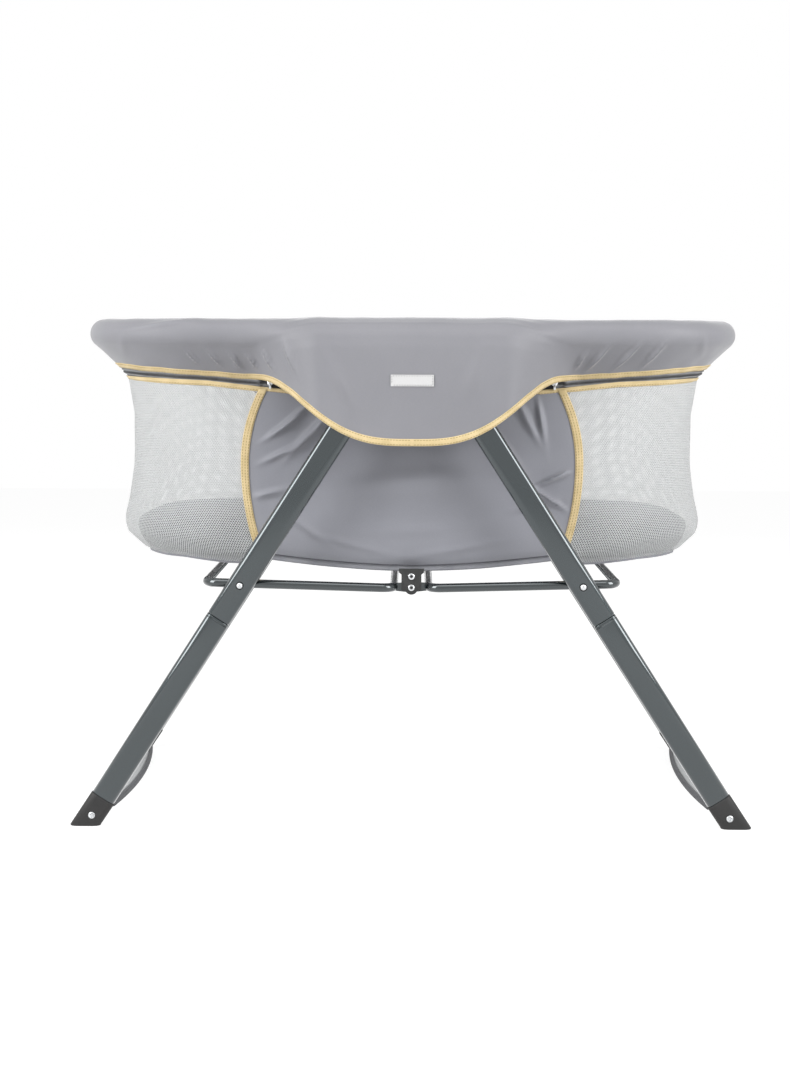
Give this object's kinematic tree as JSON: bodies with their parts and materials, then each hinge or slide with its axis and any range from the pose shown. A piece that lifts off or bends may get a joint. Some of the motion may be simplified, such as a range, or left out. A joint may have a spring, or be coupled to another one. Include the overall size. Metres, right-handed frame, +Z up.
{
  "type": "bassinet on stand",
  "caption": "Travel bassinet: mesh-ended fabric tub with padded rail and mattress on a folding A-frame stand with hinged base and swing-down rockers.",
  "frame": {"origin": "on the floor, under the centre of the bassinet", "axes": "+X along the bassinet, +Y from front to back, +Z up"},
  "size_m": [0.9062, 0.5308, 0.6771],
  "materials": {
    "grey_fabric": "woven polyester, matt",
    "grey_panel": "woven polyester, matt",
    "mesh_fabric": "open knitted mesh",
    "mattress_fabric": "printed knit",
    "foam": "closed-cell foam",
    "leg_paint": "satin slate grey paint",
    "rail_steel": "plain steel tube",
    "black_plastic": "moulded, satin",
    "foot_plastic": "moulded, matt",
    "rocker_plastic": "moulded, satin",
    "tread_rubber": "matt",
    "zinc": "zinc plated"
  },
  "bodies": {
    "hub": {"front_hub": "black_plastic", "front_flap": "grey_fabric", "front_panel": "grey_panel", "front_left_leg_pivot_bolt": "zinc", "front_left_rail_pin": "zinc", "front_right_leg_pivot_bolt": "zinc", "front_right_rail_pin": "zinc", "back_hub": "black_plastic", "back_flap": "grey_fabric", "back_panel": "grey_panel", "back_left_leg_pivot_bolt": "zinc", "back_left_rail_pin": "zinc", "back_right_leg_pivot_bolt": "zinc", "back_right_rail_pin": "zinc", "left_mesh_end": "mesh_fabric", "right_mesh_end": "mesh_fabric", "tub_floor": "grey_panel"},
    "left_legs": {"front_left_upper_leg": "leg_paint", "front_left_lower_leg": "leg_paint", "front_left_foot": "foot_plastic", "front_left_base_rivet": "zinc", "front_left_foot_bolt": "zinc", "back_left_upper_leg": "leg_paint", "back_left_lower_leg": "leg_paint", "back_left_foot": "foot_plastic", "back_left_base_rivet": "zinc", "back_left_foot_bolt": "zinc"},
    "left_rail": {"left_rail_tube": "rail_steel", "left_rail_foam": "foam", "left_rail_cover": "grey_fabric"},
    "left_base": {"left_base_loop": "leg_paint", "left_mattress": "mattress_fabric"},
    "left_rocker": {"left_rocker_bar": "rocker_plastic", "left_rocker_tread": "tread_rubber"},
    "left_zip": {"left_zip_slider": "zinc"},
    "right_legs": {"front_right_upper_leg": "leg_paint", "front_right_lower_leg": "leg_paint", "front_right_foot": "foot_plastic", "front_right_base_rivet": "zinc", "front_right_foot_bolt": "zinc", "back_right_upper_leg": "leg_paint", "back_right_lower_leg": "leg_paint", "back_right_foot": "foot_plastic", "back_right_base_rivet": "zinc", "back_right_foot_bolt": "zinc"},
    "right_rail": {"right_rail_tube": "rail_steel", "right_rail_foam": "foam", "right_rail_cover": "grey_fabric"},
    "right_base": {"right_base_loop": "leg_paint", "right_mattress": "mattress_fabric"},
    "right_rocker": {"right_rocker_bar": "rocker_plastic", "right_rocker_tread": "tread_rubber"},
    "right_zip": {"right_zip_slider": "zinc"},
    "base_hinge": {"front_hinge_bracket": "black_plastic", "front_hinge_rivet": "zinc", "front_bracket_rivet": "zinc", "back_hinge_bracket": "black_plastic", "back_hinge_rivet": "zinc", "back_bracket_rivet": "zinc", "base_spine": "black_plastic"}
  },
  "joints": [
    {"name": "left_leg_fold", "type": "hinge", "parent": "hub", "child": "left_legs", "pos_m": [-0.03, 0, 0.627], "axis": [0, -1, 0], "range_deg": [0, 25.22], "deforming": ["left_mesh_end", "right_mesh_end", "front_panel", "back_panel", "tub_floor", "left_rail_cover", "right_rail_cover"]},
    {"name": "right_leg_fold", "type": "hinge", "parent": "hub", "child": "right_legs", "pos_m": [0.03, 0, 0.627], "axis": [0, 1, 0], "range_deg": [0, 25.27]},
    {"name": "left_rail_fold", "type": "hinge", "parent": "hub", "child": "left_rail", "pos_m": [-0.045, 0, 0.652], "axis": [0, -1, 0], "range_deg": [0, 66.13]},
    {"name": "right_rail_fold", "type": "hinge", "parent": "hub", "child": "right_rail", "pos_m": [0.045, 0, 0.652], "axis": [0, 1, 0], "range_deg": [0, 66.13]},
    {"name": "base_lift", "type": "slide", "parent": "hub", "child": "base_hinge", "axis": [0, 0, 1], "range_m": [0, 0.1641]},
    {"name": "left_base_fold", "type": "hinge", "parent": "base_hinge", "child": "left_base", "pos_m": [0, 0, 0.3165], "axis": [0, -1, 0], "range_deg": [0, 71.68]},
    {"name": "right_base_fold", "type": "hinge", "parent": "base_hinge", "child": "right_base", "pos_m": [0, 0, 0.3165], "axis": [0, 1, 0], "range_deg": [0, 71.68]},
    {"name": "left_rocker_swing", "type": "hinge", "parent": "left_legs", "child": "left_rocker", "pos_m": [-0.423, 0, 0.015], "axis": [0, 1, 0], "range_deg": [0, 90]},
    {"name": "right_rocker_swing", "type": "hinge", "parent": "right_legs", "child": "right_rocker", "pos_m": [0.423, 0, 0.015], "axis": [0, -1, 0], "range_deg": [0, 90]},
    {"name": "left_zip_slide", "type": "slide", "parent": "left_rail", "child": "left_zip", "axis": [-1, 0, 0], "range_m": [0, 0.11]},
    {"name": "right_zip_slide", "type": "slide", "parent": "right_rail", "child": "right_zip", "axis": [1, 0, 0], "range_m": [0, 0.11]}
  ],
  "couplings": [
    {"joint": "right_leg_fold", "follows": "left_leg_fold", "ratio": 1},
    {"joint": "left_rail_fold", "follows": "left_leg_fold", "ratio": 2.617},
    {"joint": "right_rail_fold", "follows": "left_leg_fold", "ratio": 2.617},
    {"joint": "base_lift", "follows": "left_leg_fold", "m_per_rad": 0.372},
    {"joint": "left_base_fold", "follows": "left_leg_fold", "ratio": 2.8366},
    {"joint": "right_base_fold", "follows": "left_leg_fold", "ratio": 2.8366}
  ]
}
